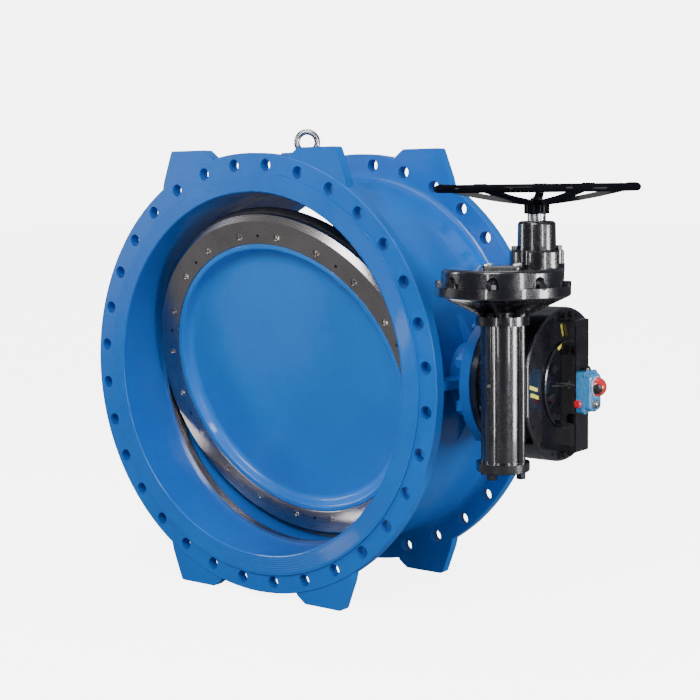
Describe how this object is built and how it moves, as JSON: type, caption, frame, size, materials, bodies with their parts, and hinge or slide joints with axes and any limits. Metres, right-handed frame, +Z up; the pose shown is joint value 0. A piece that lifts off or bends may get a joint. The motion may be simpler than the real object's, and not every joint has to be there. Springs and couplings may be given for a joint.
{
  "type": "double flanged butterfly valve",
  "caption": "Large double-flanged butterfly valve with a tilting disc, worm gearbox, handwheel and position-switch box.",
  "frame": {"origin": "centre of the inlet flange's raised joint face, on the pipe axis", "axes": "+Y along the pipe from the inlet flange to the outlet flange, +X along the valve shaft towards the gearbox, +Z up"},
  "size_m": [2.072, 0.795, 1.55],
  "materials": {
    "body_coating": "semi-gloss epoxy coating",
    "disc_coating": "satin epoxy coating",
    "stainless": "fine-turned stainless steel",
    "seal_rubber": "matt",
    "bearing_bronze": "machined",
    "zinc_steel": "bright zinc plating",
    "gearbox_paint": "gloss black enamel over cast iron",
    "machined_steel": "machined and greased",
    "wheel_iron": "machined",
    "switch_blue": "gloss",
    "signal_red": "gloss"
  },
  "bodies": {
    "valve_frame": {"valve_body": "body_coating", "body_seat_ring": "stainless", "drive_bush": "bearing_bronze", "idle_bush": "bearing_bronze", "thrust_washers": "bearing_bronze", "gland_bush": "bearing_bronze", "shaft_o_rings": "seal_rubber", "end_cover_gasket": "seal_rubber", "end_cover": "body_coating", "end_cover_bolts": "zinc_steel", "lifting_eyebolt": "zinc_steel", "gearbox_studs": "zinc_steel", "gearbox_nuts": "body_coating", "gear_housing": "gearbox_paint", "gear_cover": "gearbox_paint", "gear_cover_bolts": "gearbox_paint", "wheel_bushes": "bearing_bronze", "worm_bearings": "machined_steel", "stop_guide_sleeve": "machined_steel", "worm_end_cap": "gearbox_paint", "worm_end_bolts": "gearbox_paint", "spur_case": "gearbox_paint", "spur_case_bolts": "gearbox_paint", "spur_cover": "gearbox_paint", "spur_cover_bolts": "gearbox_paint", "inspection_plate": "gearbox_paint", "inspection_screws": "zinc_steel", "input_neck": "gearbox_paint", "input_neck_bolts": "gearbox_paint", "input_bearings": "bearing_bronze", "input_seal": "seal_rubber", "grease_plug": "zinc_steel", "switch_bracket": "gearbox_paint", "bracket_bolts": "gearbox_paint", "switch_box_base": "switch_blue", "switch_box_lid": "switch_blue", "switch_box_screws": "zinc_steel", "cable_entry_plug": "signal_red", "metal_gland_plug": "zinc_steel", "blanking_plug": "zinc_steel"},
    "disc_train": {"disc": "disc_coating", "disc_seal": "seal_rubber", "seal_retaining_ring": "stainless", "retaining_screws": "stainless", "drive_shaft": "stainless", "idle_shaft": "stainless", "disc_pins": "stainless", "wheel_key": "machined_steel", "worm_wheel": "wheel_iron", "indicator_cap": "gearbox_paint", "indicator_cap_bolts": "gearbox_paint", "switch_stem": "machined_steel", "indicator_dome": "signal_red"},
    "worm": {"worm_shaft": "machined_steel", "ring_gear": "machined_steel", "ring_gear_nut": "machined_steel"},
    "input": {"input_shaft": "machined_steel", "handwheel": "gearbox_paint", "handwheel_nut": "gearbox_paint"},
    "stop_nut": {"travelling_nut": "bearing_bronze"}
  },
  "joints": [
    {"name": "handwheel_turn", "type": "hinge", "parent": "valve_frame", "child": "input", "pos_m": [0.996, 0.135, 0.45], "axis": [0, 0, 1], "range_deg": [-3627, 17433]},
    {"name": "worm_spin", "type": "hinge", "parent": "valve_frame", "child": "worm", "pos_m": [0.916, 0.075, 0], "axis": [0, 0, 1], "range_deg": [-837.1, 4023.1]},
    {"name": "disc_turn", "type": "hinge", "parent": "valve_frame", "child": "disc_train", "pos_m": [0, 0.315, 0.005], "axis": [1, 0, 0], "range_deg": [-15.51, 74.51]},
    {"name": "stop_nut_slide", "type": "slide", "parent": "valve_frame", "child": "stop_nut", "axis": [0, 0, 1], "range_m": [-0.0559, 0.01165]}
  ],
  "couplings": [
    {"joint": "worm_spin", "follows": "handwheel_turn", "ratio": 0.23077},
    {"joint": "disc_turn", "follows": "handwheel_turn", "ratio": 0.0042735},
    {"joint": "stop_nut_slide", "follows": "handwheel_turn", "m_per_rad": -0.00018364}
  ]
}
